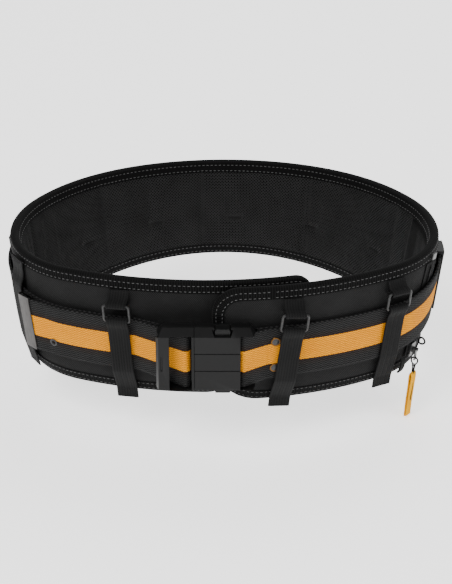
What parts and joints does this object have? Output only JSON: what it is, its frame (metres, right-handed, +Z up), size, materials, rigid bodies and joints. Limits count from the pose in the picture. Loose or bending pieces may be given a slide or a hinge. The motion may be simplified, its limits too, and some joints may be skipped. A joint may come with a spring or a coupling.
{
  "type": "tool belt",
  "caption": "Padded work belt with a wide striped webbing strap, side-release buckle, ring loops for pouches and a zipped pad.",
  "frame": {"origin": "centre of the waist opening, half way up the pad, where the wearer's waist holds it", "axes": "+Z up along the wearer's body, the buckle faces -Y, +X to the right as seen from in front"},
  "size_m": [0.3942, 0.2998, 0.1608],
  "materials": {
    "foam": "closed-cell foam padding",
    "cover_cloth": "black ballistic weave",
    "air_mesh": "black air mesh",
    "binding_tape": "black grosgrain binding with grey stitching",
    "facing_cloth": "smooth black facing",
    "brassed_metal": "dark brassed rivets and eyelet",
    "tip_metal": "satin grey metal",
    "webbing": "black ribbed webbing with an orange stripe",
    "black_wire": "black wire",
    "loop_webbing": "black herringbone strap",
    "keeper_plastic": "black moulded plastic",
    "bar_steel": "steel bar",
    "spring_steel": "spring wire",
    "buckle_plastic": "black moulded plastic, fine grain",
    "button_plastic": "black moulded plastic",
    "zipper_tape": "black zipper tape",
    "zipper_coil": "black nylon coil",
    "zipper_metal": "black enamelled zinc",
    "cord": "black braided cord",
    "tag_webbing": "yellow-orange webbing"
  },
  "bodies": {
    "root": {"cover_right": "cover_cloth", "lining_right": "air_mesh", "binding_right": "binding_tape", "cover_left": "cover_cloth", "lining_left": "air_mesh", "binding_left": "binding_tape", "foam_back_1": "foam", "foam_back_2": "foam", "foam_back_3": "foam", "foam_back_4": "foam", "foam_left_side": "foam", "foam_left_flap": "foam", "foam_right_side": "foam", "foam_right_flap": "foam", "inner_facing": "facing_cloth", "webbing_main": "webbing", "webbing_tail": "webbing", "tail_eyelet": "brassed_metal", "webbing_rivets": "brassed_metal", "webbing_tip": "tip_metal", "loop_tab_left": "loop_webbing", "loop_strap_left": "loop_webbing", "loop_tab_middle": "loop_webbing", "loop_strap_middle": "loop_webbing", "loop_tab_right": "loop_webbing", "loop_strap_right": "loop_webbing", "side_loop": "loop_webbing", "rear_loop_left": "loop_webbing", "rear_loop_middle": "loop_webbing", "rear_loop_right": "loop_webbing", "zipper_tape_front": "zipper_tape", "zipper_coil_front": "zipper_coil", "zipper_tape_rear": "zipper_tape", "zipper_coil_rear": "zipper_coil", "zipper_top_stop": "zipper_metal", "zipper_bottom_stop": "zipper_metal", "zipper_end_tab": "loop_webbing", "cord_ear": "cord"},
    "buckle_socket": {"socket_front": "buckle_plastic", "socket_back": "buckle_plastic", "socket_bar": "bar_steel", "button_spring_upper": "spring_steel", "button_spring_lower": "spring_steel"},
    "buckle_plug": {"plug_body": "buckle_plastic", "plug_bar": "bar_steel"},
    "button_upper": {"button_upper": "button_plastic"},
    "button_lower": {"button_lower": "button_plastic"},
    "ring_left": {"loop_ring_left": "black_wire"},
    "ring_middle": {"loop_ring_middle": "black_wire"},
    "ring_right": {"loop_ring_right": "black_wire"},
    "keeper_left": {"keeper_left": "keeper_plastic"},
    "keeper_right": {"keeper_right": "keeper_plastic"},
    "zipper_slider": {"zipper_slider": "zipper_metal"},
    "zipper_puller": {"zipper_puller": "zipper_metal"},
    "pull_tag": {"pull_cord": "cord", "pull_tag": "tag_webbing"}
  },
  "joints": [
    {"name": "socket_slide", "type": "slide", "parent": "root", "child": "buckle_socket", "axis": [1, 0, 0], "range_m": [0, 0.009], "deforming": ["webbing_main"]},
    {"name": "plug_slide", "type": "slide", "parent": "root", "child": "buckle_plug", "axis": [-1, 0, 0], "range_m": [0, 0.015], "deforming": ["webbing_tail"]},
    {"name": "upper_button_press", "type": "slide", "parent": "buckle_socket", "child": "button_upper", "axis": [0, 0, -1], "range_m": [0, 0.003], "stiffness_N_per_m": 700, "springref_m": -0.002, "deforming": ["button_spring_upper"]},
    {"name": "lower_button_press", "type": "slide", "parent": "buckle_socket", "child": "button_lower", "axis": [0, 0, 1], "range_m": [0, 0.003], "stiffness_N_per_m": 700, "springref_m": -0.002, "deforming": ["button_spring_lower"]},
    {"name": "ring_left_hinge", "type": "hinge", "parent": "root", "child": "ring_left", "pos_m": [-0.09279, -0.10304, 0.03748], "axis": [-0.9742, 0.2222, -0.0405], "range_deg": [-3, 8], "deforming": ["loop_strap_left"]},
    {"name": "ring_middle_hinge", "type": "hinge", "parent": "root", "child": "ring_middle", "pos_m": [0.06065, -0.1185, 0.03723], "axis": [-0.9762, -0.1931, 0.0987], "range_deg": [-3, 8], "deforming": ["loop_strap_middle"]},
    {"name": "ring_right_hinge", "type": "hinge", "parent": "root", "child": "ring_right", "pos_m": [0.15193, -0.07972, 0.03749], "axis": [-0.8625, -0.5031, 0.0546], "range_deg": [-3, 8], "deforming": ["loop_strap_right"]},
    {"name": "keeper_left_slide", "type": "slide", "parent": "root", "child": "keeper_left", "axis": [-0.2419, -0.9703, 0], "range_m": [-0.003, 0.003]},
    {"name": "keeper_right_slide", "type": "slide", "parent": "root", "child": "keeper_right", "axis": [-0.0349, 0.9994, 0], "range_m": [-0.003, 0.003]},
    {"name": "zipper_slide", "type": "slide", "parent": "root", "child": "zipper_slider", "axis": [0.18, 0.0906, 0.9795], "range_m": [0, 0.0787]},
    {"name": "puller_hinge", "type": "hinge", "parent": "zipper_slider", "child": "zipper_puller", "pos_m": [0.17153, -0.05071, -0.03918], "axis": [-0.5213, -0.8357, 0.1731], "range_deg": [-5, 120]},
    {"name": "tag_swing", "type": "hinge", "parent": "zipper_puller", "child": "pull_tag", "pos_m": [0.17092, -0.05168, -0.04568], "axis": [-0.5213, -0.8357, 0.1731], "range_deg": [-8, 30]}
  ],
  "couplings": [
    {"joint": "plug_slide", "follows": "socket_slide", "ratio": 1.6667}
  ]
}
